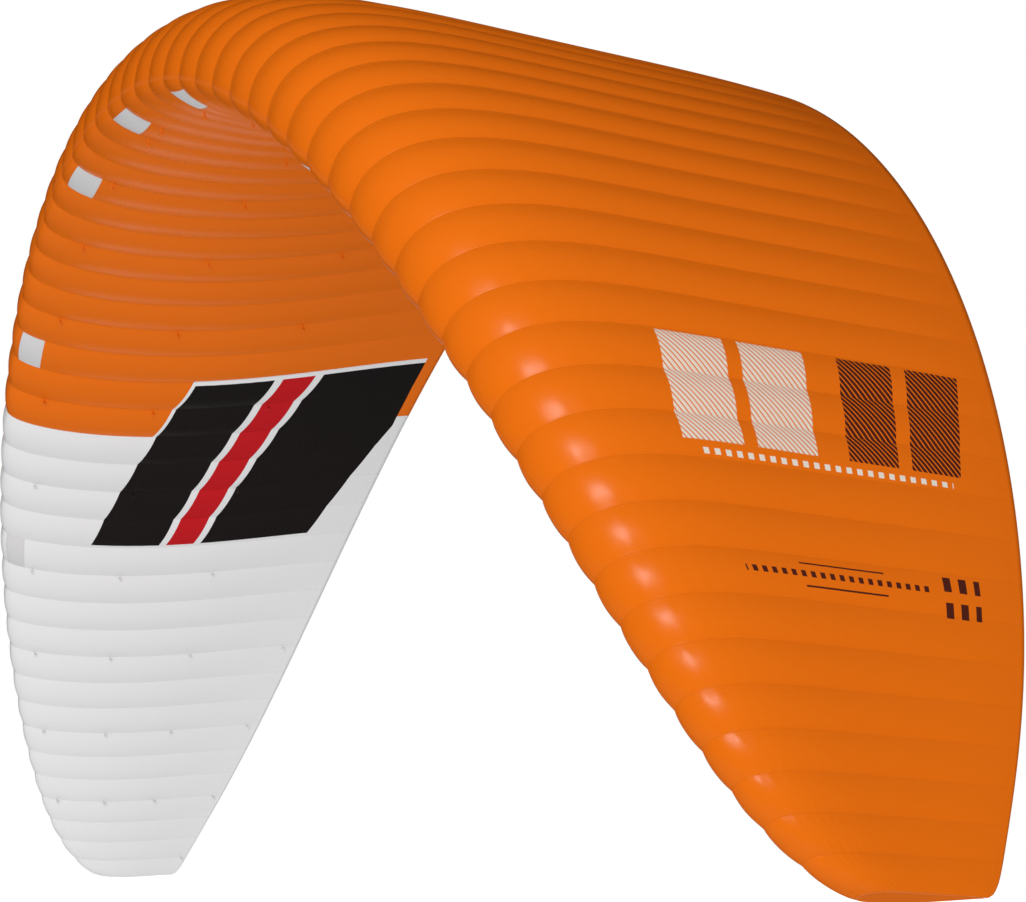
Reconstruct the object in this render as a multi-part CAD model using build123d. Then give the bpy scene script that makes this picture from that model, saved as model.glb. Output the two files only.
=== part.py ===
"""Closed-cell foil kite, inflated and flying: 63 cells of ripstop cloth between profile ribs.

+X runs along the span to the kite's left tip, +Y runs aft from nose to trailing edge and +Z is up.
The origin is the middle of the bore through the two front bridle tabs beside the centre cell.
Ribs are numbered 0 to 63 from the -X tip, and cell n lies between ribs n and n + 1.
"""
from functools import lru_cache
from math import copysign, cos, hypot, pi, radians, sin, sqrt
import os

from build123d import *

# ---- driving dimensions: millimetres and degrees ----
FLAT_SPAN = 10800.0
CENTRE_CHORD = 2080.0
TIP_CHORD = 358.0
CELLS = 63

# planform: the chord follows a rounded ellipse, and cells narrow towards the tips
PLANFORM_FLATNESS = 2.33
PLANFORM_ROUNDNESS = 0.69
CELL_TAPER = 0.23
SWEEP_INNER = 120.0
SWEEP_OUTER = 84.0
SWEEP_TIP = 81.0
TIP_SWEEP_POWER = 40

# arc: how steeply the span bends down, as a polynomial in the share of the half span
ARC_ROOT_DEG = 71.8
ARC_RELAX_DEG = 9.0
INCIDENCE_DEG = -3.7
TIP_TWIST_DEG = 1.6

# aerofoil: three shape weights for each surface, and how much thinner the tips are
UPPER_SHAPE = (0.497, 0.161, 0.239)
LOWER_SHAPE = (0.194, 0.260, 0.105)
TIP_THINNING = 0.177
CHORD_PIVOT = 0.40
TRAILING_HALF_THICKNESS = 1.6

# cloth
SKIN_THICKNESS = 1.0
SEAM_GAP = 1.0
BULGE_RATIO = 0.05
RIB_THICKNESS = 0.8
RIB_INSET = 0.3
SKIN_END = 0.962
HEM_START = 0.972
NOSE_PLACE = 0.002

# inner structure
CROSSPORTS = ((0.13, 0.045), (0.27, 0.055), (0.43, 0.060), (0.60, 0.055))
CROSSPORT_HEIGHT = 0.34
DIAGONAL_START = 0.20
DIAGONAL_END = 0.46
DIAGONAL_THICKNESS = 1.0
DIAGONAL_INSET = 8.0
BATTEN_FACETS = 2
BATTEN_INSET = 5.0
BATTEN_SIZE = 2.4
BATTEN_OFFSET = 1.0
OVAL_POINTS = 8
TAPE_HEIGHT = 12.0
TAPE_THICKNESS = 0.8
NOSE_TAPE_LIFT = 0.6

# air intakes: netting behind a narrow lip, with a one-way flap inside
INTAKE_CELLS = (13, 20, 27, 31, 35, 42, 49)
INTAKE_LIP_END = 0.008
INTAKE_START = 0.009
INTAKE_END = 0.052
INTAKE_SKIN_START = 0.053
NETTING_THICKNESS = 0.8
FLAP_CLEARANCE = 3.0
FLAP_THICKNESS = 0.8
FLAP_START = 0.011
FLAP_END = 0.060
FLAP_SIDE_MARGIN = 9.0

# bridle tabs: short webbing loops under every third rib
LOADED_PER_SIDE = 10
LOADED_STEP = 3
CENTRE_RIBS = (31, 32)
LOADED_RIBS = tuple(
    rib + side * LOADED_STEP * n for rib, side in zip(CENTRE_RIBS, (-1, 1)) for n in range(LOADED_PER_SIDE)
)
TAB_ROWS = {"front": 0.07, "middle": 0.32, "rear": 0.60}
TAB_DROP = 28.0
TAB_BORE_RADIUS = 5.0
TAB_OUTER_RADIUS = 7.0
TAB_WIDTH = 12.0
TAB_NECK = 6.0
TAB_STEM = 16.0
TAB_SEAM_CLEARANCE = 1.6

# what folds: the outer 18 cells of each side, and each tip's trailing corner
WING_CELLS = 18
FOLD_CLEARANCE = 8.0
FOLD_POINTS = 60
CORNER_CELLS = 14
CORNER_TIP_SHARE = 0.50
CORNER_CLEARANCE = 18.0
CORNER_GAP = 1.0
BRAKE_TAB_SHARE = 0.94
BRAKE_RIBS = {"right": (1, 4, 7, 10), "left": (53, 56, 59, 62)}
CORNER_PIECES = ("upper_skin", "lower_skin", "trailing_hem", "profile_ribs", "tip_panel")
SMALLEST_PIECE = 1.0

PROFILE_POINTS = 9
NARROW_POINTS = 4
ARC_STEPS = 40
LAST_RIB = CELLS
MIDDLE_RIB = CELLS / 2


# ---- the inflated shape ----
def arc_angle(share):
    """How far the span has bent down, in radians, at a share of the half span."""
    return radians(ARC_ROOT_DEG * share - ARC_RELAX_DEG * share**3)


@lru_cache(maxsize=None)
def section(rib):
    """The plane, chord, thickness factor and signed span share of a rib, or of a place between ribs."""
    evenly = (rib - MIDDLE_RIB) / MIDDLE_RIB
    share = (1 + CELL_TAPER) * evenly - CELL_TAPER * evenly**3
    reach = abs(share)
    step = reach / ARC_STEPS
    out = down = 0.0
    for index in range(ARC_STEPS):
        angle = arc_angle((index + 0.5) * step)
        out += cos(angle) * step * FLAT_SPAN / 2
        down += sin(angle) * step * FLAT_SPAN / 2
    angle = copysign(arc_angle(reach), share)
    outward = Vector(sin(angle), 0, cos(angle))
    pitch = radians(INCIDENCE_DEG + TIP_TWIST_DEG * reach**2)
    aft = Vector(0, 1, 0) * cos(pitch) - outward * sin(pitch)
    along = Vector(cos(angle), 0, -sin(angle))
    rounding = (1 - min(reach, 1.0) ** PLANFORM_FLATNESS) ** PLANFORM_ROUNDNESS
    chord = TIP_CHORD + (CENTRE_CHORD - TIP_CHORD) * rounding
    aft_shift = SWEEP_INNER * reach**2 + SWEEP_OUTER * reach**4 + SWEEP_TIP * reach**TIP_SWEEP_POWER
    pivot = Vector(copysign(out, share), aft_shift, -down)
    thickness = 1 - TIP_THINNING * reach**2
    return Plane(origin=pivot, x_dir=aft, z_dir=along), chord, thickness, share


def cell_width(cell):
    """Flat width of a cell between its two ribs."""
    return (section(cell + 1)[3] - section(cell)[3]) * FLAT_SPAN / 2


def profile_point(rib, place, push=0.0):
    """A point of a section's outline, in its own plane, pushed outwards along the normal.

    place runs from -1 at the lower trailing edge, through 0 at the nose, to 1 at the upper one,
    as the square root of the chord share."""
    plane, chord, thickness, share = section(rib)

    def on_outline(at):
        weights = UPPER_SHAPE if at >= 0 else LOWER_SHAPE
        x = at * at
        blend = weights[0] * (1 - x) ** 2 + 2 * weights[1] * x * (1 - x) + weights[2] * x * x
        height = chord * thickness * at * (1 - x) * blend
        return (x - CHORD_PIVOT) * chord, height + copysign(TRAILING_HALF_THICKNESS * x, at)

    nudge = 0.002
    x, height = on_outline(place)
    before = on_outline(place - nudge)
    after = on_outline(place + nudge)
    run = after[0] - before[0]
    rise = after[1] - before[1]
    length = hypot(run, rise)
    return x - rise / length * push, height + run / length * push


def bulge(cell, place):
    """How far pressure swells a cell's cloth at mid cell: full at the nose, none at the hem."""
    return BULGE_RATIO * cell_width(cell) * (1 - (place * place) ** 3)


def in_space(rib, x, height, shift=0.0):
    """A point of a section's own plane as a point of the kite, moved along the span by shift."""
    return section(rib)[0].from_local_coords(Vector(x, height, shift))


def places(first, last, count=PROFILE_POINTS):
    """Evenly spaced places along the outline."""
    return [first + (last - first) * index / (count - 1) for index in range(count)]


def flat_face(points):
    """Flat face with straight edges."""
    return Face(Wire.make_polygon(points))


def stack(loops):
    """Closed solid through a row of matching loops of points, with flat triangles between them.

    The second half of a loop runs back along the first, so its triangles are cut the other way and
    both sides of a thin band fold alike. Every second span is cut as the mirror of the one before."""
    faces = [flat_face(loops[0]), flat_face(loops[-1])]
    count = len(loops[0])
    for span, (low, high) in enumerate(zip(loops, loops[1:])):
        for index in range(count):
            after = (index + 1) % count
            if (index >= count // 2) == (span % 2 == 1):
                faces.append(flat_face([low[index], low[after], high[after]]))
                faces.append(flat_face([low[index], high[after], high[index]]))
            else:
                faces.append(flat_face([low[index], low[after], high[index]]))
                faces.append(flat_face([low[after], high[after], high[index]]))
    return Solid(Shell(faces))


def across_cell(cell, loop, margin=SEAM_GAP / 2):
    """Solid from rib to rib through the mid cell; loop(rib, swelling) gives each outline's points."""
    ends = margin / cell_width(cell)
    stations = ((cell + ends, 0.0), (cell + 0.5, 1.0), (cell + 1 - ends, 0.0))
    return stack([[in_space(rib, *point) for point in loop(rib, swelling)] for rib, swelling in stations])


def cell_band(cell, steps, thickness, depth=0.0, margin=SEAM_GAP / 2):
    """One cell's strip of cloth along some places of the outline, swollen at mid cell."""

    def loop(rib, swelling):
        pushes = [swelling * bulge(cell, at) - depth for at in steps]
        outer = [profile_point(rib, at, push) for at, push in zip(steps, pushes)]
        inner = [profile_point(rib, at, push - thickness) for at, push in zip(steps, pushes)]
        return outer + inner[::-1]

    return across_cell(cell, loop, margin)


def side_sign(rib):
    """1 on the +X side, -1 on the -X side."""
    return 1 if rib > MIDDLE_RIB else -1


# ---- cloth ----
def upper_skin(cell):
    """Upper cloth of a cell, from the nose seam to the hem."""
    return [cell_band(cell, places(NOSE_PLACE, sqrt(SKIN_END)), SKIN_THICKNESS)]


def lower_skin(cell):
    """Lower cloth of a cell; an intake cell has only a narrow lip ahead of its netting."""
    if cell not in INTAKE_CELLS:
        return [cell_band(cell, places(-NOSE_PLACE, -sqrt(SKIN_END)), SKIN_THICKNESS)]
    lip = cell_band(cell, places(-NOSE_PLACE, -sqrt(INTAKE_LIP_END), NARROW_POINTS), SKIN_THICKNESS)
    panel = cell_band(cell, places(-sqrt(INTAKE_SKIN_START), -sqrt(SKIN_END)), SKIN_THICKNESS)
    return [lip, panel]


def netting(cell):
    """Fine netting over an air intake."""
    steps = places(-sqrt(INTAKE_START), -sqrt(INTAKE_END), NARROW_POINTS)
    return [cell_band(cell, steps, NETTING_THICKNESS)]


def valve_flap(cell):
    """One-way cloth flap that lies inside the netting and overlaps the cloth behind it."""
    steps = places(-sqrt(FLAP_START), -sqrt(FLAP_END), NARROW_POINTS)
    return [cell_band(cell, steps, FLAP_THICKNESS, SKIN_THICKNESS + FLAP_CLEARANCE, FLAP_SIDE_MARGIN)]


def hem(cell):
    """Folded trailing-edge hem of a cell."""
    start = sqrt(HEM_START)

    def loop(rib, swelling):
        return [profile_point(rib, at) for at in (start, 1.0, -1.0, -start)]

    return [across_cell(cell, loop)]


def nose_tape(cell):
    """Flat tape sewn over the nose seam of a cell."""

    def loop(rib, swelling):
        near = -CHORD_PIVOT * section(rib)[1] - swelling * bulge(cell, 0.0) - NOSE_TAPE_LIFT
        far = near - TAPE_THICKNESS
        half = TAPE_HEIGHT / 2
        return [(near, -half), (near, half), (far, half), (far, -half)]

    return [across_cell(cell, loop)]


# ---- inner structure ----
def plate(rib, outline, holes, thickness, shift=0.0):
    """Flat plate in a section's plane, as thick as stated and centred on shift along the span."""
    flat = Face(Wire.make_polygon(outline), [Wire.make_polygon(hole) for hole in holes])
    plane = section(rib)[0]
    placed = plane * (Pos(0, 0, shift - thickness / 2) * flat)
    return extrude(placed, amount=thickness, dir=plane.z_dir).solid()


def rib_outline(rib, inset):
    """Flat outline of a rib between both skins, set in from the seams."""
    steps = places(NOSE_PLACE, sqrt(SKIN_END))
    upper = [profile_point(rib, at, -inset) for at in steps]
    lower = [profile_point(rib, -at, -inset) for at in steps]
    return upper + lower[::-1]


def crossports(rib):
    """Oval holes that let air pass from cell to cell."""
    chord = section(rib)[1]
    holes = []
    for share, length in CROSSPORTS:
        x, top = profile_point(rib, sqrt(share))
        bottom = profile_point(rib, -sqrt(share))[1]
        middle = (top + bottom) / 2
        tall = (top - bottom) * CROSSPORT_HEIGHT
        turns = [2 * pi * index / OVAL_POINTS for index in range(OVAL_POINTS)]
        holes.append([(x + chord * length * cos(turn), middle + tall * sin(turn)) for turn in turns])
    return holes


def profile_rib(rib):
    """A loaded or plain rib: a cloth profile with crossports."""
    return [plate(rib, rib_outline(rib, RIB_INSET), crossports(rib), RIB_THICKNESS)]


def tip_panel(rib):
    """The flat end of the kite: a closed profile without holes."""
    return [plate(rib, rib_outline(rib, RIB_INSET), [], RIB_THICKNESS)]


def nose_batten(rib):
    """Thin plastic strip that holds a rib's nose round."""
    upper = places(NOSE_PLACE, sqrt(SKIN_END))[: BATTEN_FACETS + 1]
    steps = [-at for at in upper[::-1]] + upper
    outer = [profile_point(rib, at, -BATTEN_INSET) for at in steps]
    inner = [profile_point(rib, at, -BATTEN_INSET - BATTEN_SIZE) for at in steps]
    shift = -side_sign(rib) * (RIB_THICKNESS / 2 + BATTEN_OFFSET + BATTEN_SIZE / 2)
    return [plate(rib, outer + inner[::-1], [], BATTEN_SIZE, shift)]


def diagonal(loaded, free):
    """Sloping cloth band from a loaded rib's lower seam up to its neighbour's upper seam."""
    inset = DIAGONAL_INSET / cell_width(min(loaded, free))
    toward = 1 if free > loaded else -1
    loops = []
    for rib, side in ((loaded + toward * inset, -1), (free - toward * inset, 1)):
        start = profile_point(rib, side * sqrt(DIAGONAL_START), -DIAGONAL_INSET)
        end = profile_point(rib, side * sqrt(DIAGONAL_END), -DIAGONAL_INSET)
        under = [start, end]
        over = [(x, height + DIAGONAL_THICKNESS) for x, height in (end, start)]
        loops.append([in_space(rib, x, height) for x, height in under + over])
    return stack(loops)


def diagonals(rib):
    """The two diagonal bands of a loaded rib, one in each neighbouring cell."""
    return [diagonal(rib, rib - 1), diagonal(rib, rib + 1)]


# ---- bridle tabs ----
def tab_plane(rib, share):
    """Plane of a tab's bore, at its centre. The two tabs beside the centre cell share one bore axis."""
    x, height = profile_point(rib, -sqrt(share))
    centre = in_space(rib, x, height - TAB_DROP)
    if rib in CENTRE_RIBS:
        return Plane(origin=centre, x_dir=(0, 1, 0), z_dir=(1, 0, 0))
    plane = section(rib)[0]
    return Plane(origin=centre, x_dir=plane.x_dir, z_dir=plane.z_dir)


def bridle_tab(rib, share):
    """Webbing loop with a round bore, on a thin tongue that is sewn into the rib's lower seam."""
    across = tab_plane(rib, share)
    seam = TAB_DROP - TAB_SEAM_CLEARANCE
    loop = Circle(TAB_OUTER_RADIUS) + Pos(0, TAB_STEM / 2) * Rectangle(TAB_NECK, TAB_STEM)
    loop -= Circle(TAB_BORE_RADIUS)
    ring = extrude(across * loop, amount=TAB_WIDTH / 2, both=True)
    plane = section(rib)[0]
    tongue_plane = Plane(origin=across.origin, x_dir=plane.x_dir, z_dir=plane.z_dir)
    tongue_foot = TAB_STEM - TAB_NECK / 2
    length = seam - tongue_foot
    tongue = Pos(0, tongue_foot + length / 2) * Rectangle(TAB_NECK, length)
    return [(ring + extrude(tongue_plane * tongue, amount=RIB_THICKNESS / 2, both=True)).solid()]


# ---- folds ----
def fold_axis(rib):
    """Hinge line of a wing's inward fold: along the fold rib's chord, just under its lower seam."""
    plane = section(rib)[0]
    lowest = min(profile_point(rib, -at)[1] for at in places(NOSE_PLACE, 1.0, FOLD_POINTS))
    centre = in_space(rib, 0.0, lowest - FOLD_CLEARANCE)
    return centre, plane.x_dir * side_sign(rib)


def corner_plane(side):
    """Plane that parts a tip's trailing corner from its wing; its x axis is the hinge line."""
    tip = LAST_RIB if side > 0 else 0
    inner = tip - side * CORNER_CELLS
    inner_x, inner_height = profile_point(inner, -1.0)
    tip_x, tip_height = profile_point(tip, -sqrt(CORNER_TIP_SHARE))
    start = in_space(inner, inner_x, inner_height - CORNER_CLEARANCE)
    end = in_space(tip, tip_x, tip_height - CORNER_CLEARANCE)
    middle_up = section(inner)[0].y_dir + section(tip)[0].y_dir
    line = (end - start).normalized()
    aft = middle_up.cross(line) * side
    return Plane(origin=start, x_dir=line, z_dir=aft)


def cut_corner(solids, side, behind):
    """The part of some solids behind or ahead of a corner's hinge plane, with a small gap."""
    plane = corner_plane(side)
    shift = CORNER_GAP / 2 if behind else -CORNER_GAP / 2
    knife = Plane(origin=plane.origin + plane.z_dir * shift, x_dir=plane.x_dir, z_dir=plane.z_dir)
    keep = Keep.TOP if behind else Keep.BOTTOM
    kept = []
    for solid in solids:
        piece = split(solid, bisect_by=knife, keep=keep)
        if piece is not None:
            kept += [part for part in piece.solids() if part.volume > SMALLEST_PIECE]
    return kept


def gather(maker, numbers):
    """All solids that a maker gives for some ribs or cells."""
    return [solid for number in numbers for solid in maker(number)]


def panel_nodes():
    """Every node's solids, by name."""
    first_fold = WING_CELLS
    last_fold = LAST_RIB - WING_CELLS
    nodes = {}
    cells = {
        "centre": range(first_fold, last_fold),
        "right": range(0, first_fold),
        "left": range(last_fold, CELLS),
    }
    ribs = {
        "centre": range(first_fold, last_fold + 1),
        "right": range(1, first_fold),
        "left": range(last_fold + 1, LAST_RIB),
    }
    cloth = {
        "upper_skin": (upper_skin, cells, None),
        "lower_skin": (lower_skin, cells, None),
        "trailing_hem": (hem, cells, None),
        "nose_tape": (nose_tape, cells, None),
        "intake_netting": (netting, cells, INTAKE_CELLS),
        "profile_ribs": (profile_rib, ribs, None),
        "nose_battens": (nose_batten, ribs, None),
        "diagonal_bands": (diagonals, ribs, LOADED_RIBS),
    }
    for name, (maker, spans, only) in cloth.items():
        for part, numbers in spans.items():
            chosen = [n for n in numbers if only is None or n in only]
            nodes[f"{name}_{part}"] = gather(maker, chosen)
    for row, share in TAB_ROWS.items():
        for part, numbers in ribs.items():
            chosen = [n for n in numbers if n in LOADED_RIBS]
            nodes[f"{row}_tabs_{part}"] = gather(lambda rib: bridle_tab(rib, share), chosen)
    nodes["tip_panel_right"] = tip_panel(0)
    nodes["tip_panel_left"] = tip_panel(LAST_RIB)
    for side, part in ((-1, "right"), (1, "left")):
        for name in CORNER_PIECES:
            whole = nodes[f"{name}_{part}"]
            nodes[f"{name}_{part}"] = cut_corner(whole, side, behind=False)
            nodes[f"{name}_{part}_corner"] = cut_corner(whole, side, behind=True)
        brakes = BRAKE_RIBS[part]
        nodes[f"brake_tabs_{part}_corner"] = gather(lambda rib: bridle_tab(rib, BRAKE_TAB_SHARE), brakes)
    for number, cell in enumerate(INTAKE_CELLS, start=1):
        nodes[f"valve_flap_{number}"] = valve_flap(cell)
    return nodes


def to_origin():
    """The move that brings the middle of the front centre bore to the origin."""
    centre = tab_plane(CENTRE_RIBS[0], TAB_ROWS["front"]).origin
    return Location((0, -centre.Y, -centre.Z))


def main():
    os.makedirs("parts", exist_ok=True)
    move = to_origin()
    for name, solids in panel_nodes().items():
        placed = [solid.moved(move) for solid in solids]
        shape = placed[0] if len(placed) == 1 else Compound(children=placed)
        export_step(shape, f"parts/{name}.step")


if __name__ == "__main__":
    main()
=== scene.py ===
from math import cos, pi, radians, sin, sqrt

import bpy
import numpy as np
from mathutils import Matrix, Vector
from mathutils.geometry import tessellate_polygon


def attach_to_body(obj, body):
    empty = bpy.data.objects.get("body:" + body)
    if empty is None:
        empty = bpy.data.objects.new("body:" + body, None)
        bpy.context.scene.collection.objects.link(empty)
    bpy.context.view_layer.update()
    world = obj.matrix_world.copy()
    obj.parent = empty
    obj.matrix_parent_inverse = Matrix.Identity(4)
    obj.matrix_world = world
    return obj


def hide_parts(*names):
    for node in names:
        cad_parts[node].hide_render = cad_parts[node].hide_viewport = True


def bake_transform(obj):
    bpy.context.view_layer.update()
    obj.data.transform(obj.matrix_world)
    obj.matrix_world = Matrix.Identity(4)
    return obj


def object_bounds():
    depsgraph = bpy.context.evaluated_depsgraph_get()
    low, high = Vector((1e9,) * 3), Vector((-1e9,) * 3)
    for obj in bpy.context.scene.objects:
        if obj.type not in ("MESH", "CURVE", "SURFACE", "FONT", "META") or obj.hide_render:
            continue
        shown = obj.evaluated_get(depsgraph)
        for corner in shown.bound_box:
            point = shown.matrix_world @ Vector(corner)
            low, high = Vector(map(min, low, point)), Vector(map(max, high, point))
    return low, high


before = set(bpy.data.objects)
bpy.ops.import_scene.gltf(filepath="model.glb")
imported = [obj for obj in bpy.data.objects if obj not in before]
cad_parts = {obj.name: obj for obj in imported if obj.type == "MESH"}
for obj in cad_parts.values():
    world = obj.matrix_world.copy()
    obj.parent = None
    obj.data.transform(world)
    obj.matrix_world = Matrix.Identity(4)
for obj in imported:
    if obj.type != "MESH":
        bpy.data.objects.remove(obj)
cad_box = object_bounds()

# ---- the kite's shape, in metres and degrees: the same driving dimensions as the CAD model ----
FLAT_SPAN = 10.8
CENTRE_CHORD = 2.08
TIP_CHORD = 0.358
CELLS = 63
MIDDLE_RIB = CELLS / 2
PLANFORM_FLATNESS = 2.33
PLANFORM_ROUNDNESS = 0.69
CELL_TAPER = 0.23
SWEEP_INNER = 0.120
SWEEP_OUTER = 0.084
SWEEP_TIP = 0.081
TIP_SWEEP_POWER = 40
ARC_ROOT_DEG = 71.8
ARC_RELAX_DEG = 9.0
INCIDENCE_DEG = -3.7
TIP_TWIST_DEG = 1.6
UPPER_SHAPE = (0.497, 0.161, 0.239)
LOWER_SHAPE = (0.194, 0.260, 0.105)
TIP_THINNING = 0.177
CHORD_PIVOT = 0.40
TRAILING_HALF_THICKNESS = 0.0016
ARC_POINTS = 2001

# ---- cloth: how pressure swells it, and where its pieces start and end ----
# Swelling is a share of a cell's width. A place on the skin is the square root of its chord share,
# and below 0 on the lower side.
SWELL_NOSE = 0.062
SWELL_BODY = 0.078
SWELL_FADE = 0.35
PUCKER_DEPTH = 0.0005
PUCKER_LENGTH = 0.085
PUCKER_DRIFT = 2.4
ACROSS_CELL = 10
HEM_SHARE = 0.968
HEM_LIFT = 0.0004
HEM_STEPS = 4
TAPE_PLACE = 0.012
TAPE_LIFT = 0.0006
TAPE_STEPS = 5
NOSE_STEPS = 5
INTAKE_STEPS = 9
BODY_STEPS = 64
INTAKE_CELLS = (13, 20, 27, 31, 35, 42, 49)
INTAKE_FIRST = sqrt(0.0085)
INTAKE_LAST = sqrt(0.0525)
NET_DEPTH = 0.0008
FLAP_FIRST = sqrt(0.011)
FLAP_LAST = sqrt(0.060)
FLAP_DEPTH = 0.0044
FLAP_MARGIN = 0.009

# ---- folds: the outer 18 cells of each side, and each tip's trailing corner of 14 cells ----
# A wing's fold lies between two ribs, counted from its tip; the cloth is not bent here.
WING_CELLS = 18
BEND_FROM_RIB = 20
BEND_TO_RIB = 15
TIP_ZONE = 14
FOLD_ZONE = 24
CORNER_TIP_SHARE = 0.50
CORNER_CLEARANCE = 0.018

# ---- inner structure and tabs ----
CENTRE_RIBS = (31, 32)
LOADED_STEP = 3
LOADED_PER_SIDE = 10
LOADED_RIBS = [CENTRE_RIBS[0] - LOADED_STEP * n for n in range(LOADED_PER_SIDE)]
LOADED_RIBS += [CENTRE_RIBS[1] + LOADED_STEP * n for n in range(LOADED_PER_SIDE)]
CROSSPORTS = ((0.13, 0.045), (0.27, 0.055), (0.43, 0.060), (0.60, 0.055))
CROSSPORT_HEIGHT = 0.34
TAB_ROWS = {"front": 0.07, "middle": 0.32, "rear": 0.60}
TAB_DROP = 0.028
TAB_BORE_RADIUS = 0.005
TAB_OUTER_RADIUS = 0.007
TAB_WIDTH = 0.012
TAB_STEM = 0.016
TAB_TONGUE_WIDTH = 0.006
TAB_TONGUE_THICKNESS = 0.0008
TAB_GAP_DEG = 40
TAB_TURNS = 20
BRAKE_TAB_SHARE = 0.94
BRAKE_RIBS = {"right": (1, 4, 7, 10), "left": (53, 56, 59, 62)}
RIB_INSET = 0.0006
RIB_STEPS = 60
OVAL_POINTS = 24
BATTEN_SHARE = 0.055
BATTEN_INSET = 0.005
BATTEN_SIZE = 0.0024
BATTEN_OFFSET = 0.0014
BATTEN_STEPS = 16
DIAGONAL_START = 0.20
DIAGONAL_END = 0.46
DIAGONAL_INSET = 0.008
DIAGONAL_STEPS = 8


# ---- the inflated shape ----
def arc_angle(share):
    """How far the span has bent down at a share of the half span."""
    return np.radians(ARC_ROOT_DEG * share - ARC_RELAX_DEG * share**3)


ARC_SHARE = np.linspace(0, 1, ARC_POINTS)
ARC_STEP = ARC_SHARE[1] * FLAT_SPAN / 2
ARC_MIDDLE = arc_angle((ARC_SHARE[1:] + ARC_SHARE[:-1]) / 2)
ARC_OUT = np.concatenate([[0], np.cumsum(np.cos(ARC_MIDDLE)) * ARC_STEP])
ARC_DOWN = np.concatenate([[0], np.cumsum(np.sin(ARC_MIDDLE)) * ARC_STEP])


def span_share(ribs):
    """Signed share of the half span at each rib station."""
    evenly = (ribs - MIDDLE_RIB) / MIDDLE_RIB
    return (1 + CELL_TAPER) * evenly - CELL_TAPER * evenly**3


def sections(ribs):
    """Pivot, aft, up and along vectors, chord and thickness factor of some rib stations."""
    ribs = np.atleast_1d(np.asarray(ribs, float))
    share = span_share(ribs)
    reach = np.minimum(np.abs(share), 1)
    angle = np.sign(share) * arc_angle(reach)
    pitch = np.radians(INCIDENCE_DEG + TIP_TWIST_DEG * reach**2)
    zero = np.zeros_like(angle)
    outward = np.stack([np.sin(angle), zero, np.cos(angle)], 1)
    level = np.array([0.0, 1.0, 0.0])
    turn_cos, turn_sin = np.cos(pitch)[:, None], np.sin(pitch)[:, None]
    aft = level * turn_cos - outward * turn_sin
    up = outward * turn_cos + level * turn_sin
    along = np.stack([np.cos(angle), zero, -np.sin(angle)], 1)
    rounding = (1 - reach**PLANFORM_FLATNESS) ** PLANFORM_ROUNDNESS
    chord = TIP_CHORD + (CENTRE_CHORD - TIP_CHORD) * rounding
    out = np.sign(share) * np.interp(reach, ARC_SHARE, ARC_OUT)
    down = np.interp(reach, ARC_SHARE, ARC_DOWN)
    sweep = SWEEP_INNER * reach**2 + SWEEP_OUTER * reach**4 + SWEEP_TIP * reach**TIP_SWEEP_POWER
    pivot = np.stack([out, sweep, -down], 1)
    return pivot, aft, up, along, chord, 1 - TIP_THINNING * reach**2


def outline(chord, thickness, place):
    """Flat outline point at a place: -1 lower trailing edge, 0 nose, 1 upper trailing edge."""
    x = place * place
    first, second, third = (np.where(place >= 0, a, b) for a, b in zip(UPPER_SHAPE, LOWER_SHAPE))
    blend = first * (1 - x) ** 2 + 2 * second * x * (1 - x) + third * x * x
    height = chord * thickness * place * (1 - x) * blend
    return (x - CHORD_PIVOT) * chord, height + TRAILING_HALF_THICKNESS * np.sign(place) * x


def profile(chord, thickness, place, push):
    """Outline point moved outwards by push."""
    nudge = 0.002
    x, height = outline(chord, thickness, place)
    before = outline(chord, thickness, place - nudge)
    after = outline(chord, thickness, place + nudge)
    run, rise = after[0] - before[0], after[1] - before[1]
    length = np.hypot(run, rise)
    return x - rise / length * push, height + run / length * push


def swelling(ribs, place):
    """How far pressure pushes the cloth out, with small puckers beside the seams."""
    cell = np.clip(np.floor(ribs), 0, CELLS - 1)
    width = (span_share(cell + 1) - span_share(cell)) * FLAT_SPAN / 2
    across = ribs - cell
    crown = 1 - (2 * across - 1) ** 2
    x = place * place
    ratio = SWELL_BODY + (SWELL_NOSE - SWELL_BODY) * np.exp(-((place / SWELL_FADE) ** 2))
    waves = np.sin(2 * pi * place * np.abs(place) * CENTRE_CHORD / PUCKER_LENGTH + PUCKER_DRIFT * cell)
    beside_seam = 4 * crown * (1 - crown)
    fade = 1 - x**3
    return fade * (crown * width * ratio + PUCKER_DEPTH * waves * beside_seam)


def raw_surface(ribs, places, push=0.0, swell=1.0):
    """Points of the aerofoil skin on a grid of rib stations and places, before the shift to the origin."""
    pivot, aft, up, _, chord, thickness = sections(ribs)
    rib_grid, place_grid = np.meshgrid(np.atleast_1d(ribs).astype(float), places, indexing="ij")
    lift = swell * swelling(rib_grid, place_grid) + push
    x, height = profile(chord[:, None], thickness[:, None], place_grid, lift)
    return pivot[:, None] + x[..., None] * aft[:, None] + height[..., None] * up[:, None]


def front_bore():
    """Middle of the bore through the two front tabs beside the centre cell."""
    seam = raw_surface([CENTRE_RIBS[0]], [-sqrt(TAB_ROWS["front"])])[0, 0]
    drop = sections([CENTRE_RIBS[0]])[2][0] * TAB_DROP
    return (seam - drop) * np.array([0, 1, 1])


ORIGIN = front_bore()


def surface(ribs, places, push=0.0, swell=1.0):
    """Points of the skin in the shared frame."""
    return raw_surface(ribs, places, push, swell) - ORIGIN


def in_section(rib, x, height, shift=0.0):
    """A flat point of one section, in the shared frame."""
    pivot, aft, up, along = (part[0] for part in sections([rib])[:4])
    return Vector(pivot - ORIGIN + aft * x + up * height + along * shift)


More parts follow.
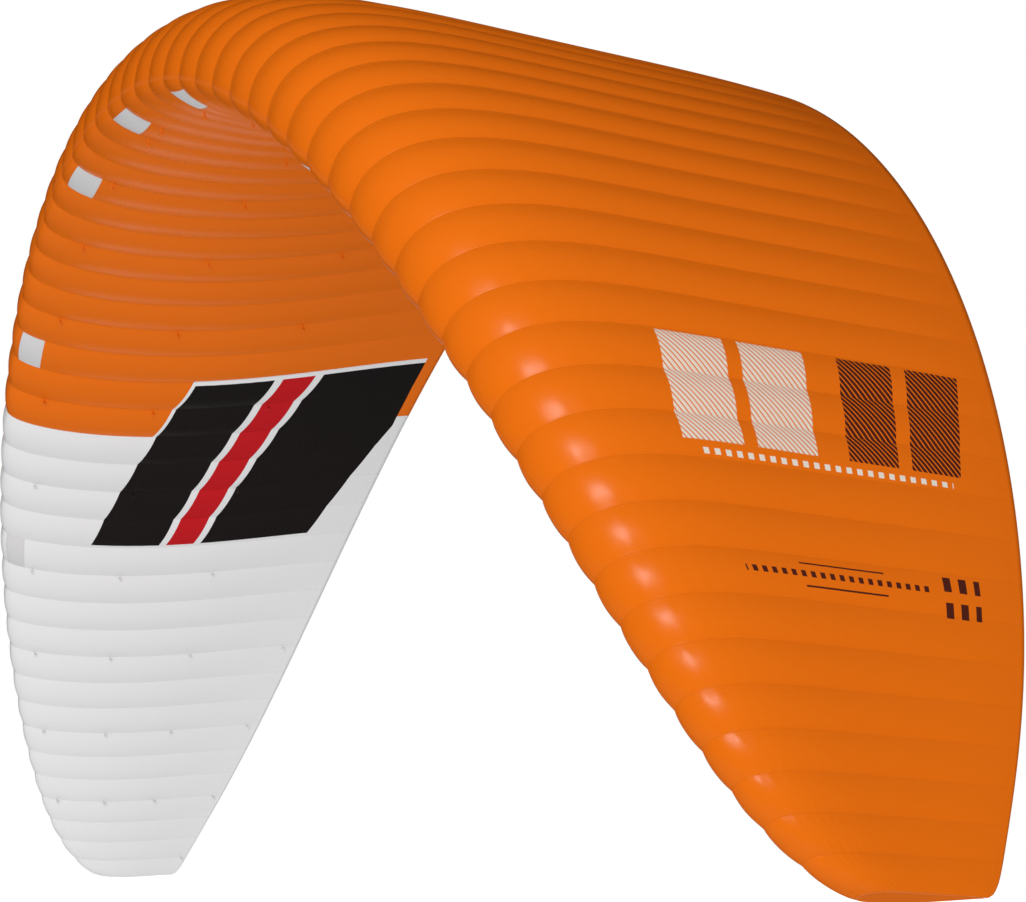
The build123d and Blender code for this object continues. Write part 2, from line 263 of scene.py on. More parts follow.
# ---- materials ----
class Shader:
    """A principled material whose inputs are worked out by small arithmetic nodes."""

    def __init__(self, name):
        self.material = bpy.data.materials.new(name)
        self.material.use_nodes = True
        self.tree = self.material.node_tree
        self.surface = self.tree.nodes["Principled BSDF"]

    def node(self, kind, **settings):
        made = self.tree.nodes.new(kind)
        for key, value in settings.items():
            setattr(made, key, value)
        return made

    def link(self, value, socket):
        if isinstance(value, bpy.types.NodeSocket):
            self.tree.links.new(value, socket)
        else:
            socket.default_value = value

    def math(self, operation, *values):
        made = self.node("ShaderNodeMath", operation=operation)
        for value, socket in zip(values, made.inputs):
            self.link(value, socket)
        return made.outputs[0]

    def parts(self, attribute):
        """The three numbers of a mesh attribute."""
        source = self.node("ShaderNodeAttribute", attribute_name=attribute)
        split = self.node("ShaderNodeSeparateXYZ")
        self.tree.links.new(source.outputs["Vector"], split.inputs[0])
        return split.outputs

    def within(self, value, low, high):
        """1 where value lies between low and high."""
        above = self.math("GREATER_THAN", value, low)
        below = self.math("LESS_THAN", value, high)
        return self.math("MULTIPLY", above, below)

    def near(self, value, width):
        """1 where value is 0, fading to 0 at width."""
        share = self.math("DIVIDE", value, width)
        return self.math("MAXIMUM", self.math("SUBTRACT", 1.0, share), 0.0)

    def mix(self, factor, low, high):
        made = self.node("ShaderNodeMix", data_type="RGBA")
        self.link(factor, made.inputs[0])
        self.link(low, made.inputs[6])
        self.link(high, made.inputs[7])
        return made.outputs[2]

    def noise(self, scale, detail=2.0):
        where = self.node("ShaderNodeTexCoord")
        made = self.node("ShaderNodeTexNoise")
        made.inputs["Scale"].default_value = scale
        made.inputs["Detail"].default_value = detail
        self.tree.links.new(where.outputs["Object"], made.inputs["Vector"])
        return made.outputs[0]

    def bump(self, height, strength, distance, under=None):
        made = self.node("ShaderNodeBump")
        made.inputs["Strength"].default_value = strength
        made.inputs["Distance"].default_value = distance
        self.link(height, made.inputs["Height"])
        if under is not None:
            self.link(under, made.inputs["Normal"])
        return made.outputs[0]

    def finish(self, colour, roughness, normal=None, **fixed):
        self.link(colour, self.surface.inputs["Base Color"])
        self.link(roughness, self.surface.inputs["Roughness"])
        if normal is not None:
            self.link(normal, self.surface.inputs["Normal"])
        for key, value in fixed.items():
            self.surface.inputs[key].default_value = value
        return self.material


ORANGE = (0.780, 0.150, 0.0026, 1)
WHITE = (0.760, 0.765, 0.775, 1)
BLACK = (0.010, 0.010, 0.011, 1)
RED = (0.520, 0.006, 0.012, 1)
PALE = (0.760, 0.690, 0.600, 1)
BROWN = (0.075, 0.014, 0.009, 1)
# brown for the cloth's random colour drift, and for the painted shade between woven threads
DRIFT_AND_PAINTED_GAP_SHADE = (0.20, 0.06, 0.01, 1)
SEAM_SHADE = (0.03, 0.015, 0.01, 1)
SEAM_DARKNESS = 0.04
CLOTH_SHINE = 0.18
CLOTH_ROUGHNESS = 0.26
THREAD_ROUGHNESS = 0.06
WHITE_START = {"right": 0.05, "left": -0.15}
GRID_PITCH = 0.006
THREAD_SHARE = 0.16
SEAM_REACH = 0.030
STITCH_PITCH = 0.010
STITCH_PLACE = 0.022
STITCH_GAP = 0.17
STITCH_WIDTH = 0.007
# noise is (scale, detail), and relief is (bump strength, height in metres)
DRIFT_NOISE = (0.9, 3.0)
DRIFT_SHARE = 0.04
INNER_NOISE = (1.5, 3.0)
INNER_SHADE = 0.94
CRUMPLE_NOISE = (7.0, 4.0)
CRUMPLE_RELIEF = (0.05, 0.004)
THREAD_RELIEF = (0.20, 0.0003)
STITCH_RELIEF = (0.5, 0.0006)
NET_GREY = (0.66, 0.665, 0.675, 1)
NET_PITCH = 0.002
TAPE_PITCH = 0.0016
# how far the gaps between woven threads are darkened: painted shade
WOVEN_PAINTED_GAP_SHADE = 0.16
WOVEN_RELIEF = (0.35, 0.0004)
WOVEN_ROUGHNESS = 0.6
WOVEN_SHINE = 0.15
MILKY = (0.80, 0.80, 0.76, 1)
MILKY_SHADE = (0.5, 0.5, 0.46, 1)
MILKY_SHARE = 0.15
MILKY_NOISE = 30.0
PLASTIC_ROUGHNESS = 0.35
DRAWN_LINES = 220.0
DRAWN_RELIEF = (0.1, 0.0002)
BAR_LEAN = 0.030
BLOCK_LEAN = 0.018
HATCH_PITCH = 0.006
HATCH_GAP = 0.3
HATCH_SLOPE = 0.06
TICK_PITCH = 0.012
SQUARE_PITCH = 0.020
# a printed block spans cells counted from the tip, and shares of the chord
LOWER_EDGE = ((13.9, 20.05), (0.215, 0.875))
LOWER_CELLS = (14.1, 19.9)
LOWER_BARS = ((0.23, 0.42, BLACK), (0.44, 0.52, RED), (0.54, 0.86, BLACK))
UPPER_CELLS = (10.35, 12.95)
UPPER_BLOCKS = ((0.27, 0.40, PALE), (0.43, 0.56, PALE), (0.63, 0.74, BROWN), (0.77, 0.88, BROWN))
TICK_ROWS = (((10.08, 10.20), (0.30, 0.86), PALE), ((7.48, 7.62), (0.29, 0.76), BROWN))
THIN_LINES = ((7.78, 7.82), (7.26, 7.30))
THIN_LINE_SHARE = (0.43, 0.64)
SQUARE_ROWS = ((7.55, 7.90), (6.95, 7.30))
SQUARE_SHARE = (0.775, 0.885)


def parallelogram(shader, cells, share, cell_range, share_range, lean):
    """1 inside a leaning block, cells counted from the tip and share along the chord."""
    leaned = shader.math("SUBTRACT", share, shader.math("MULTIPLY", cells, lean))
    start = share_range[0] - cell_range[0] * lean
    end = share_range[1] - cell_range[0] * lean
    return shader.math("MULTIPLY", shader.within(cells, *cell_range), shader.within(leaned, start, end))


def hatched(shader, mask, cells, share):
    """A block cut by fine diagonal lines."""
    slope = shader.math("ADD", shader.math("MULTIPLY", cells, HATCH_SLOPE), share)
    wave = shader.math("PINGPONG", slope, HATCH_PITCH)
    stripe = shader.math("GREATER_THAN", wave, HATCH_PITCH * HATCH_GAP)
    return shader.math("MULTIPLY", mask, stripe)


def dashed(shader, mask, share, pitch):
    """A row cut into dashes."""
    dashes = shader.math("LESS_THAN", shader.math("PINGPONG", share, pitch), pitch / 2)
    return shader.math("MULTIPLY", mask, dashes)


def lower_graphic(shader, cells, share, colour):
    """Broad black and red bars with a white edge on the outer lower cloth."""
    edge = parallelogram(shader, cells, share, *LOWER_EDGE, BAR_LEAN)
    colour = shader.mix(edge, colour, WHITE)
    for low, high, paint in LOWER_BARS:
        bar = parallelogram(shader, cells, share, LOWER_CELLS, (low, high), BAR_LEAN)
        colour = shader.mix(bar, colour, paint)
    return colour


def upper_graphic(shader, cells, share, colour):
    """Hatched pale and brown blocks, tick rows, thin lines and rows of small squares."""
    for low, high, paint in UPPER_BLOCKS:
        block = parallelogram(shader, cells, share, UPPER_CELLS, (low, high), BLOCK_LEAN)
        colour = shader.mix(hatched(shader, block, cells, share), colour, paint)
    for cell_range, share_range, paint in TICK_ROWS:
        row = parallelogram(shader, cells, share, cell_range, share_range, 0.0)
        colour = shader.mix(dashed(shader, row, share, TICK_PITCH), colour, paint)
    for cell_range in THIN_LINES:
        line = parallelogram(shader, cells, share, cell_range, THIN_LINE_SHARE, 0.0)
        colour = shader.mix(line, colour, BROWN)
    for cell_range in SQUARE_ROWS:
        row = parallelogram(shader, cells, share, cell_range, SQUARE_SHARE, 0.0)
        colour = shader.mix(dashed(shader, row, share, SQUARE_PITCH), colour, BROWN)
    return colour


def kite_colour(shader):
    """Orange cloth, white on the lower side of the outer cells, with the station it was worked out from."""
    rib, share, place = shader.parts("station")
    cells = shader.math("MINIMUM", rib, shader.math("SUBTRACT", float(CELLS), rib))
    outer = shader.math("LESS_THAN", cells, float(WING_CELLS))
    on_left = shader.math("GREATER_THAN", rib, MIDDLE_RIB)
    step = WHITE_START["left"] - WHITE_START["right"]
    start = shader.math("MULTIPLY_ADD", on_left, step, WHITE_START["right"])
    white = shader.math("MULTIPLY", outer, shader.math("LESS_THAN", place, start))
    return shader.mix(white, ORANGE, WHITE), rib, cells, share


def cloth_material(name, graphic=None, plain=None):
    """Coated ripstop: raised thread grid, shaded and stitched seams, slight colour drift and satin gloss."""
    shader = Shader(name)
    colour, rib, cells, share = kite_colour(shader)
    if plain:
        shade = tuple(INNER_SHADE * part for part in plain[:3]) + (1,)
        colour = shader.mix(shader.noise(*INNER_NOISE), plain, shade)
    if graphic:
        colour = graphic(shader, cells, share, colour)
    across, chordwise, _ = shader.parts("cut")
    drift = shader.math("MULTIPLY", shader.noise(*DRIFT_NOISE), DRIFT_SHARE)
    colour = shader.mix(drift, colour, DRIFT_AND_PAINTED_GAP_SHADE)
    from_seam = shader.math("PINGPONG", rib, 0.5)
    seam = shader.near(from_seam, SEAM_REACH)
    colour = shader.mix(shader.math("MULTIPLY", seam, SEAM_DARKNESS), colour, SEAM_SHADE)
    lines = []
    for along in (across, chordwise):
        place = shader.math("PINGPONG", along, GRID_PITCH / 2)
        lines.append(shader.near(place, GRID_PITCH * THREAD_SHARE))
    grid = shader.math("MAXIMUM", *lines)
    from_stitch = shader.math("ABSOLUTE", shader.math("SUBTRACT", from_seam, STITCH_PLACE))
    along_seam = shader.math("PINGPONG", chordwise, STITCH_PITCH / 2)
    dashes = shader.math("GREATER_THAN", along_seam, STITCH_PITCH * STITCH_GAP)
    stitch = shader.math("MULTIPLY", shader.near(from_stitch, STITCH_WIDTH), dashes)
    weave = shader.bump(grid, *THREAD_RELIEF)
    weave = shader.bump(stitch, *STITCH_RELIEF, weave)
    weave = shader.bump(shader.noise(*CRUMPLE_NOISE), *CRUMPLE_RELIEF, weave)
    roughness = shader.math("ADD", CLOTH_ROUGHNESS, shader.math("MULTIPLY", grid, THREAD_ROUGHNESS))
    return shader.finish(colour, roughness, weave, **{"Specular IOR Level": CLOTH_SHINE})


def woven_material(name, pitch, tint=None, graphic=None):
    """Woven tape, webbing or net: crossing threads along the object's own axes, tinted or as the kite is."""
    shader = Shader(name)
    base = tint
    if tint is None:
        base, _, cells, share = kite_colour(shader)
    if graphic:
        base = graphic(shader, cells, share, base)
    where = shader.node("ShaderNodeTexCoord")
    split = shader.node("ShaderNodeSeparateXYZ")
    shader.tree.links.new(where.outputs["Object"], split.inputs[0])
    waves = [shader.math("PINGPONG", part, pitch / 2) for part in split.outputs]
    total = shader.math("ADD", shader.math("ADD", waves[0], waves[1]), waves[2])
    threads = shader.math("PINGPONG", shader.math("DIVIDE", total, pitch), 0.5)
    # painted shade: the gaps between the threads are darkened towards brown
    painted_gap_shade = shader.math("SUBTRACT", WOVEN_PAINTED_GAP_SHADE, shader.math("MULTIPLY", threads, 2 * WOVEN_PAINTED_GAP_SHADE))
    colour = shader.mix(painted_gap_shade, base, DRIFT_AND_PAINTED_GAP_SHADE)
    weave = shader.bump(threads, *WOVEN_RELIEF)
    return shader.finish(colour, WOVEN_ROUGHNESS, weave, **{"Specular IOR Level": WOVEN_SHINE})


def plastic_material(name):
    """Milky extruded plastic with faint drawn lines."""
    shader = Shader(name)
    clouds = shader.math("MULTIPLY", shader.noise(MILKY_NOISE), MILKY_SHARE)
    colour = shader.mix(clouds, MILKY, MILKY_SHADE)
    return shader.finish(colour, PLASTIC_ROUGHNESS, shader.bump(shader.noise(DRAWN_LINES), *DRAWN_RELIEF))


MATERIALS = {
    "upper": cloth_material("ripstop_upper", graphic=upper_graphic),
    "lower": cloth_material("ripstop_lower", graphic=lower_graphic),
    "plain": cloth_material("ripstop_plain"),
    "inner": cloth_material("ripstop_inner", plain=WHITE),
    "net": woven_material("intake_net", NET_PITCH, NET_GREY),
    "tape": woven_material("seam_tape", TAPE_PITCH),
    "webbing": woven_material("tab_webbing", TAPE_PITCH, graphic=lower_graphic),
    "plastic": plastic_material("batten_plastic"),
}

# ---- zones: each is one run of cells; a centre run hangs on the centre body, the others keep their places ----
ZONES = {
    "right_tip": (0, TIP_ZONE),
    "right_fold": (TIP_ZONE, FOLD_ZONE),
    "centre": (FOLD_ZONE, CELLS - FOLD_ZONE),
    "left_fold": (CELLS - FOLD_ZONE, CELLS - TIP_ZONE),
    "left_tip": (CELLS - TIP_ZONE, CELLS),
}


def corner_hinge(side):
    """A point on a trailing corner's hinge line and the way that leads aft from it."""
    tip = CELLS if side == "left" else 0
    inner = CELLS - TIP_ZONE if side == "left" else TIP_ZONE
    up_inner, up_tip = sections([inner, tip])[2]
    start = surface([inner], [-1.0])[0, 0] - up_inner * CORNER_CLEARANCE
    end = surface([tip], [-sqrt(CORNER_TIP_SHARE)])[0, 0] - up_tip * CORNER_CLEARANCE
    line = Vector(end - start).normalized()
    aft = Vector(up_inner + up_tip).cross(line).normalized()
    return Vector(start), aft if aft.y > 0 else -aft


def attach(piece, zone):
    """Hang a centre zone's piece on the centre body; a fold or tip piece keeps its place, with its transform
    baked in.
    """
    side, _, kind = zone.partition("_")
    if kind == "fold":
        start, end = BEND_FROM_RIB, BEND_TO_RIB
        if side == "left":
            start, end = CELLS - start, CELLS - end
        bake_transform(piece)
    elif kind == "tip":
        start, aft = corner_hinge(side)
        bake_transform(piece)
    else:
        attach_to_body(piece, "centre")
    return piece


def cad_nodes(base, zone):
    """The CAD nodes that a zone's piece stands for."""
    side, _, kind = zone.partition("_")
    names = {
        "fold": [f"{base}_centre", f"{base}_{side}"],
        "tip": [f"{base}_{side}", f"{base}_{side}_corner"],
    }.get(kind, [f"{base}_centre"])
    return [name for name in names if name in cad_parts]


def make_piece(name, vertices, faces, material, station=None, smooth=False):
    """Mesh object with one material; station gives each vertex's rib, chord share and place."""
    mesh = bpy.data.meshes.new(name)
    mesh.from_pydata([tuple(point) for point in vertices], [], faces)
    mesh.materials.append(MATERIALS[material])
    mesh.polygons.foreach_set("use_smooth", [smooth] * len(mesh.polygons))
    mesh.update()
    piece = bpy.data.objects.new(name, mesh)
    bpy.context.scene.collection.objects.link(piece)
    if station is not None:
        give_attribute(piece, "station", station)
    return piece


def give_attribute(piece, name, values):
    """Store up to three numbers per vertex for the materials."""
    layer = piece.data.attributes.new(name, "FLOAT_VECTOR", "POINT")
    padded = np.zeros((len(values), 3), np.float32)
    padded[:, : values.shape[1]] = values
    layer.data.foreach_set("vector", padded.ravel())


def crease_ribs(piece, rib_of_vertex):
    """Keep a sharp fold where the cloth is sewn to a rib."""
    close = 1e-6
    mesh = piece.data
    pairs = np.zeros(len(mesh.edges) * 2, int)
    mesh.edges.foreach_get("vertices", pairs)
    first, second = rib_of_vertex[pairs[0::2]], rib_of_vertex[pairs[1::2]]
    on_rib = (np.abs(first - np.round(first)) < close) & (np.abs(first - second) < close)
    layer = mesh.attributes.new("sharp_edge", "BOOLEAN", "EDGE")
    layer.data.foreach_set("value", on_rib)


def cloth_grid(name, ribs, places, material, push=0.0, keep=None):
    """Cloth on a grid of rib stations and places, creased at the ribs, with its stations as attributes."""
    points = surface(ribs, places, push)
    rows, columns = points.shape[:2]
    faces = []
    for row in range(rows - 1):
        for column in range(columns - 1):
            middle = (ribs[row] + ribs[row + 1]) / 2, (places[column] + places[column + 1]) / 2
            if keep is None or keep(*middle):
                corner = row * columns + column
                face = [corner, corner + 1, corner + columns + 1, corner + columns]
                faces.append(face if places[0] > places[-1] else face[::-1])
    rib_grid, place_grid = np.meshgrid(ribs, places, indexing="ij")
    station = np.stack([rib_grid, place_grid**2, place_grid], 2).reshape(-1, 3)
    piece = make_piece(name, points.reshape(-1, 3), faces, material, station, smooth=True)
    steps = np.linalg.norm(np.diff(points, axis=1), axis=2)
    chordwise = np.concatenate([np.zeros((rows, 1)), np.cumsum(steps, axis=1)], 1)
    across = span_share(rib_grid) * FLAT_SPAN / 2
    give_attribute(piece, "cut", np.stack([across.ravel(), chordwise.ravel()], 1))
    crease_ribs(piece, rib_grid.ravel())
    return piece


def stations(first, last):
    """Rib stations of a run of cells."""
    return np.linspace(first, last, round((last - first) * ACROSS_CELL) + 1)


def skin_places():
    """Places from the nose to the trailing edge, with lines at both ends of the intakes."""
    nose = np.linspace(0, INTAKE_FIRST, NOSE_STEPS)
    intake = np.linspace(INTAKE_FIRST, INTAKE_LAST, INTAKE_STEPS)[1:]
    body = np.linspace(INTAKE_LAST, 1, BODY_STEPS)[1:]
    return np.concatenate([nose, intake, body])


def outside_intakes(rib, place):
    """False on the netting of an intake cell."""
    return int(rib) not in INTAKE_CELLS or not INTAKE_FIRST < abs(place) < INTAKE_LAST


def merged(parts):
    """Several (vertices, faces, stations) as one."""
    vertices, faces, marks = [], [], []
    for part_vertices, part_faces, part_marks in parts:
        offset = len(vertices)
        vertices += list(part_vertices)
        faces += [[offset + index for index in face] for face in part_faces]
        marks += list(part_marks)
    return vertices, faces, np.array(marks)


def flat_points(rib, pairs, shift=0.0):
    """Flat points of one section, in the shared frame."""
    return [in_section(rib, x, height, shift) for x, height in pairs]


def section_outline(rib, places, push):
    """Flat outline points of one section."""
    chord, thickness = (part[0] for part in sections([rib])[4:])
    x, height = profile(chord, thickness, np.asarray(places), push)
    return list(zip(x, height))


def rib_plate(rib, holes=True):
    """Flat rib between both cloths with its crossports cut out."""
    steps = np.linspace(0, sqrt(HEM_SHARE), RIB_STEPS)
    upper = section_outline(rib, steps, -RIB_INSET)
    lower = section_outline(rib, -steps[1:], -RIB_INSET)
    loops = [upper + lower[::-1]]
    chord = sections([rib])[4][0]
    for share, length in CROSSPORTS if holes else ():
        (x, top), (_, bottom) = section_outline(rib, [sqrt(share), -sqrt(share)], 0.0)
        turns = np.linspace(0, 2 * pi, OVAL_POINTS, endpoint=False)
        tall = (top - bottom) * CROSSPORT_HEIGHT
        wide = chord * length
        loops.append([(x + wide * cos(turn), (top + bottom) / 2 + tall * sin(turn)) for turn in turns])
    faces = tessellate_polygon([[Vector((x, height, 0)) for x, height in loop] for loop in loops])
    flat = [point for loop in loops for point in loop]
    marks = [(rib, x / chord + CHORD_PIVOT, 1.0) for x, _ in flat]
    return flat_points(rib, flat), [list(face) for face in faces], marks


def box_strip(outer, inner, marks):
    """Closed strip through matching pairs of edges: outer and inner are lists of two-point rows."""
    vertices = [point for near, far in zip(outer, inner) for point in (*near, *far)]
    faces = []
    for index in range(len(outer) - 1):
        here, after = 4 * index, 4 * (index + 1)
        for first, second in ((0, 1), (1, 3), (3, 2), (2, 0)):
            faces.append([here + first, here + second, after + second, after + first])
    last = 4 * (len(outer) - 1)
    faces += [[0, 2, 3, 1], [last, last + 1, last + 3, last + 2]]
    return vertices, faces, [mark for mark in marks for _ in range(4)]


def nose_batten(rib):
    """Plastic strip beside a rib, bent round its nose."""
    reach = sqrt(BATTEN_SHARE)
    steps = np.linspace(-reach, reach, BATTEN_STEPS)
    toward_middle = -1 if rib > MIDDLE_RIB else 1
    sides = [toward_middle * BATTEN_OFFSET, toward_middle * (BATTEN_OFFSET + BATTEN_SIZE)]
    rows = []
    for depth in (BATTEN_INSET, BATTEN_INSET + BATTEN_SIZE):
        line = section_outline(rib, steps, -depth)
        rows.append([[in_section(rib, x, height, shift) for shift in sides] for x, height in line])
    return box_strip(*rows, [(rib, step * step, step) for step in steps])


def diagonal_band(loaded, toward):
    """Sloping cloth from a loaded rib's lower seam up to its neighbour's upper seam."""
    width = abs(span_share(loaded + toward) - span_share(loaded)) * FLAT_SPAN / 2
    inset = toward * DIAGONAL_INSET / width
    shares = np.linspace(DIAGONAL_START, DIAGONAL_END, DIAGONAL_STEPS)
    near, far = loaded + inset, loaded + toward - inset
    low = flat_points(near, section_outline(near, -np.sqrt(shares), -DIAGONAL_INSET))
    high = flat_points(far, section_outline(far, np.sqrt(shares), -DIAGONAL_INSET))
    count = len(shares)
    faces = [[index, index + 1, count + index + 1, count + index] for index in range(count - 1)]
    marks = [(near, share, 1.0) for share in shares] + [(far, share, 1.0) for share in shares]
    return low + high, faces, marks


def bridle_tab(rib, share):
    """Webbing folded round a bore into a teardrop, on a narrow tongue that is sewn to the rib's seam."""
    aft, up, along = (part[0] for part in sections([rib])[1:4])
    (x, height), = section_outline(rib, [-sqrt(share)], 0.0)
    centre = np.array(in_section(rib, x, height - TAB_DROP))
    mark = (rib, share, -sqrt(share))
    tongue_aft, tongue_up, tongue_along = aft, up, along
    # the loops beside the centre cell stand square to the frame, so that each pair of bores lines up
    if rib in CENTRE_RIBS:
        aft, up, along = np.eye(3)[[1, 2, 0]]

    def loop_point(x, height, shift):
        return centre + aft * x + up * height + along * shift

    gap = radians(TAB_GAP_DEG)
    turns = np.linspace(pi / 2 + gap, pi / 2 - gap + 2 * pi, TAB_TURNS)
    outer = [(TAB_OUTER_RADIUS * cos(turn), TAB_OUTER_RADIUS * sin(turn)) for turn in turns]
    inner = [(TAB_BORE_RADIUS * cos(turn), TAB_BORE_RADIUS * sin(turn)) for turn in turns]
    neck = TAB_TONGUE_THICKNESS
    apex = TAB_STEM - TAB_OUTER_RADIUS / 2
    outer = [(-neck, TAB_STEM), *outer, (neck, TAB_STEM)]
    inner = [(0, apex), *inner, (0, apex)]
    sides = (-TAB_WIDTH / 2, TAB_WIDTH / 2)
    rows = []
    for line in (outer, inner):
        rows.append([[loop_point(x, height, shift) for shift in sides] for x, height in line])
    loop = box_strip(*rows, [mark] * len(outer))
    reach, half_thin = TAB_TONGUE_WIDTH / 2, TAB_TONGUE_THICKNESS / 2
    ends = []
    for side in (-reach, reach):
        foot = centre + tongue_aft * side
        thins = [tongue_along * thin for thin in (-half_thin, half_thin)]
        rises = [tongue_up * rise for rise in (TAB_STEM - TAB_TONGUE_WIDTH / 2, TAB_DROP)]
        ends.append([[foot + rise + thin for thin in thins] for rise in rises])
    tongue = box_strip(*ends, [mark] * 2)
    return merged([loop, tongue])


def cloth_area(piece):
    """Total area of a cloth piece's faces."""
    areas = np.zeros(len(piece.data.polygons))
    piece.data.polygons.foreach_get("area", areas)
    return float(areas.sum())


def ribs_of(zone, among=None):
    """The ribs of a zone, with shared border ribs given to the zone nearer the middle, and no tip panels."""
    first, last = ZONES[zone]
    if zone.startswith("right"):
        last -= 1
    if zone.startswith("left"):
        first += 1
    chosen = range(max(first, 1), min(last, CELLS - 1) + 1)
    return [rib for rib in chosen if among is None or rib in among]


def add(name, zone, base, parts, material):
    """A zone's piece made of several parts, in place of its CAD nodes; only a centre piece is hung on a
    body.
    """
    vertices, faces, marks = merged(parts)
    piece = make_piece(name, vertices, faces, material, marks)
    attach(piece, zone)
    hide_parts(*cad_nodes(base, zone))
    return piece


def add_skins(zone, first, last):
    """Upper and lower cloth, hem and nose tape of a zone."""
    ribs = stations(first, last)
    edge = np.linspace(sqrt(HEM_SHARE), 1, HEM_STEPS)
    hem = np.concatenate([edge, -edge[::-1]])
    tape = np.linspace(-TAPE_PLACE, TAPE_PLACE, TAPE_STEPS)
    lower_slot = "white_cloth" if zone.endswith("tip") else "orange_cloth"
    made = {
        "upper_cloth": (skin_places(), "upper", 0.0, None, "upper_skin", "orange_cloth"),
        "lower_cloth": (-skin_places(), "lower", 0.0, outside_intakes, "lower_skin", lower_slot),
        "hem_cloth": (hem, "plain", HEM_LIFT, None, "trailing_hem", "hem_cloth"),
        "nose_tape_strip": (tape, "tape", TAPE_LIFT, None, "nose_tape", "seam_tape"),
    }
    for kind, (places, material, push, keep, base, slot) in made.items():
        piece = cloth_grid(f"{kind}_{zone}", ribs, places, material, push, keep)
        attach(piece, zone)
        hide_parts(*cad_nodes(base, zone))


def add_inside(zone):
    """Ribs, nose battens, diagonal bands and bridle tabs of a zone."""
    ribs = ribs_of(zone)
    loaded = ribs_of(zone, LOADED_RIBS)
    plates = [rib_plate(rib) for rib in ribs]
    cloth = add(f"rib_cloth_{zone}", zone, "profile_ribs", plates, "inner")
    cloth_area(cloth)
    battens = [nose_batten(rib) for rib in ribs]
    add(f"batten_strips_{zone}", zone, "nose_battens", battens, "plastic")
    bands = [diagonal_band(rib, toward) for rib in loaded for toward in (-1, 1)]
    piece = add(f"diagonal_cloth_{zone}", zone, "diagonal_bands", bands, "inner")
    area = cloth_area(piece)
    for row, share in TAB_ROWS.items():
        tabs = [bridle_tab(rib, share) for rib in loaded]
        add(f"{row}_webbing_{zone}", zone, f"{row}_tabs", tabs, "webbing")


def add_tip(side):
    """Tip panel and brake tabs of one tip."""
    zone = f"{side}_tip"
    rib = 0 if side == "right" else CELLS
    panel = add(f"tip_cloth_{side}", zone, "tip_panel", [rib_plate(rib, holes=False)], "plain")
    area = cloth_area(panel)
    brakes = [bridle_tab(n, BRAKE_TAB_SHARE) for n in BRAKE_RIBS[side]]
    add(f"brake_webbing_{side}", zone, "brake_tabs", brakes, "webbing")


def add_intake(number, cell):
    """Netting over an intake and the one-way flap behind it."""
    body, run = "centre", "centre"
    if cell < WING_CELLS:
        body, run = "right_wing", "right"
    if cell >= CELLS - WING_CELLS:
        body, run = "left_wing", "left"
    net_places = -np.linspace(INTAKE_FIRST, INTAKE_LAST, INTAKE_STEPS)
    net = cloth_grid(f"intake_net_{number}", stations(cell, cell + 1), net_places, "net", -NET_DEPTH)
    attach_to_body(net, body)
    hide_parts(f"intake_netting_{run}")
    width = (span_share(cell + 1) - span_share(cell)) * FLAT_SPAN / 2
    margin = FLAP_MARGIN / width
    flap_ribs = np.linspace(cell + margin, cell + 1 - margin, ACROSS_CELL)
    flap_places = -np.linspace(FLAP_FIRST, FLAP_LAST, INTAKE_STEPS)
    flap = cloth_grid(f"valve_flap_{number}_cloth", flap_ribs, flap_places, "inner", -FLAP_DEPTH)
    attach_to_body(flap, f"valve_flap_{number}")
    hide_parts(f"valve_flap_{number}")
    for piece in (net, flap):
        area = cloth_area(piece)


for zone, (first, last) in ZONES.items():
    add_skins(zone, first, last)
    add_inside(zone)
for side in ("right", "left"):
    add_tip(side)
for number, cell in enumerate(INTAKE_CELLS, start=1):
    add_intake(number, cell)

# ---- camera, floor and light: the camera's place is from the centre section's pivot ----
CAMERA_FROM_PIVOT = (12.2901, -3.5813, -2.7663)
CAMERA_YAW = radians(70.737)
CAMERA_PITCH = radians(6.672)
CAMERA_ROLL = radians(0.687)
CAMERA_LENS = 123.56
CAMERA_SENSOR = 36
CAMERA_REACH = 400


def add_camera():
    """Low camera outside the left tip, looking inwards and slightly up."""
    level = Vector((cos(CAMERA_YAW), sin(CAMERA_YAW), 0))
    ahead = Vector((-sin(CAMERA_YAW), cos(CAMERA_YAW), 0))
    look = ahead * cos(CAMERA_PITCH) + Vector((0, 0, sin(CAMERA_PITCH)))
    upright = level.cross(look)
    right = level * cos(CAMERA_ROLL) + upright * sin(CAMERA_ROLL)
    up = upright * cos(CAMERA_ROLL) - level * sin(CAMERA_ROLL)
    camera = bpy.data.objects.new("camera", bpy.data.cameras.new("camera"))
    camera.data.lens = CAMERA_LENS
    camera.data.sensor_width = CAMERA_SENSOR
    camera.data.clip_end = CAMERA_REACH
    turn = Matrix((right, up, -look)).transposed().to_4x4()
    camera.matrix_world = Matrix.Translation(Vector(CAMERA_FROM_PIVOT - ORIGIN)) @ turn
    bpy.context.scene.collection.objects.link(camera)
    bpy.context.scene.camera = camera


DOME_SPREAD = radians(170)
DOME_ABOVE = 1.05
DOME_BELOW = 2.60
KEY_WAY = (0.66, -0.50, 0.52)
KEY_DISTANCE = 16.0
KEY_SIZE = 4.5
KEY_POWER = 1080
FILL_WAY = (0.93, -0.33, -0.04)
FILL_STRENGTH = 0.9
FILL_SPREAD = radians(20)
LIT_PLACE = (0, 0.4, -0.8)
FLOOR_GAP = 0.4
FLOOR_REACH = 90.0
FLOOR_COLOUR = (0.9, 0.9, 0.9, 1)
FLOOR_GLOW = {"Specular IOR Level": 0.0, "Emission Color": (1, 1, 1, 1), "Emission Strength": 0.9}


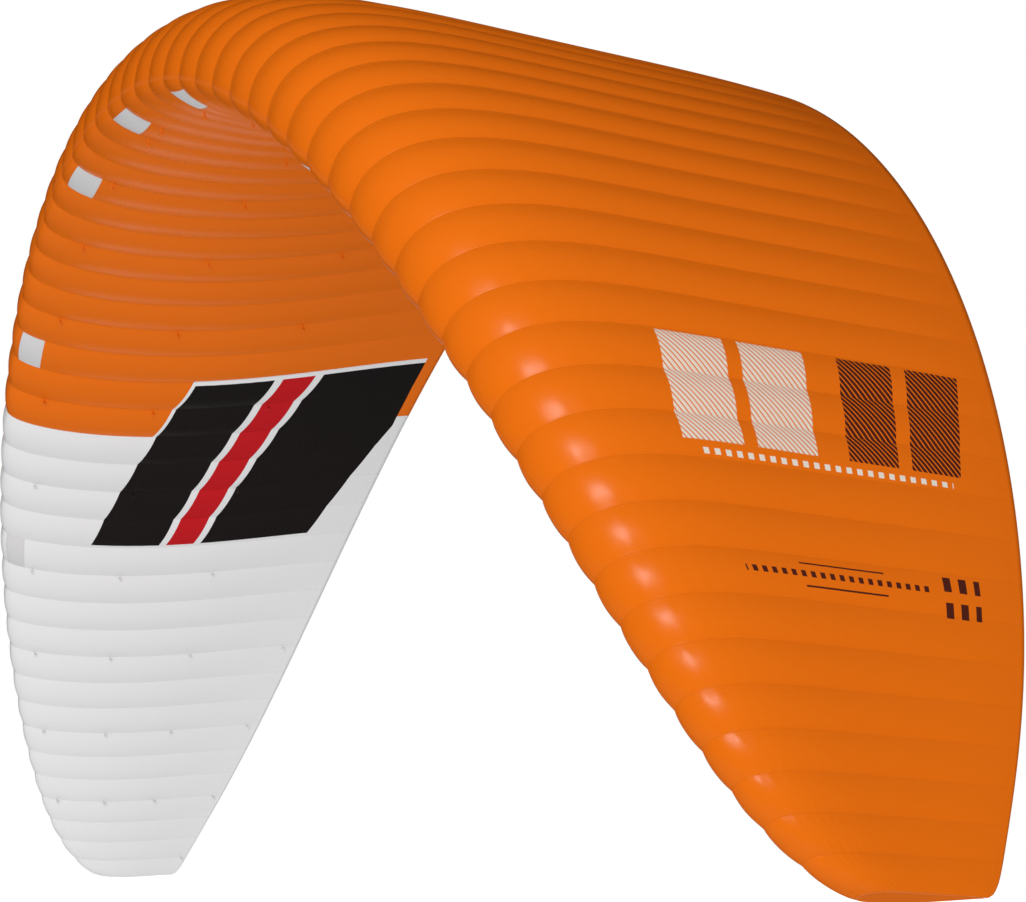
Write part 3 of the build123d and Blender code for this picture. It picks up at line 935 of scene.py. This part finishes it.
def add_lamp(name, kind, way, distance, **settings):
    """Lamp that lights the kite from a direction."""
    lamp = bpy.data.objects.new(name, bpy.data.lights.new(name, kind))
    for key, value in settings.items():
        setattr(lamp.data, key, value)
    towards = Vector(way).normalized()
    lamp.location = Vector(LIT_PLACE) + towards * distance
    lamp.rotation_euler = towards.to_track_quat("Z", "Y").to_euler()
    bpy.context.scene.collection.objects.link(lamp)
    return lamp


def add_surroundings():
    """White background that gives no light of its own, and two matte domes that do, above and below."""
    world = bpy.data.worlds.new("studio")
    world.use_nodes = True
    tree = world.node_tree
    background = tree.nodes["Background"]
    background.inputs["Color"].default_value = (1, 1, 1, 1)
    path = tree.nodes.new("ShaderNodeLightPath")
    tree.links.new(path.outputs["Is Camera Ray"], background.inputs["Strength"])
    bpy.context.scene.world = world
    for name, way, energy in (("dome_above", (0, 0, 1), DOME_ABOVE), ("dome_below", (0, 0, -1), DOME_BELOW)):
        dome = add_lamp(name, "SUN", way, KEY_DISTANCE, angle=DOME_SPREAD, energy=energy)
        dome.visible_glossy = False


def add_studio():
    """Pale floor that neither blocks nor bounces light, white surroundings and two soft lamps."""
    low = cad_box[0][2] - FLOOR_GAP
    mesh = bpy.data.meshes.new("floor")
    corners = [(x * FLOOR_REACH, y * FLOOR_REACH, low) for x, y in ((-1, -1), (1, -1), (1, 1), (-1, 1))]
    mesh.from_pydata(corners, [], [(0, 1, 2, 3)])
    floor = bpy.data.objects.new("floor", mesh)
    bpy.context.scene.collection.objects.link(floor)
    floor.visible_diffuse = False
    floor.visible_glossy = False
    floor.visible_shadow = False
    mesh.materials.append(Shader("pale_floor").finish(FLOOR_COLOUR, 1.0, **FLOOR_GLOW))
    add_surroundings()
    key = add_lamp("key", "AREA", KEY_WAY, KEY_DISTANCE, shape="DISK", size=KEY_SIZE, energy=KEY_POWER)
    key.data.use_shadow = False
    fill = add_lamp("fill", "SUN", FILL_WAY, KEY_DISTANCE, angle=FILL_SPREAD, energy=FILL_STRENGTH)
    fill.visible_glossy = False
    bpy.context.scene.view_settings.view_transform = "Standard"


add_camera()
add_studio()
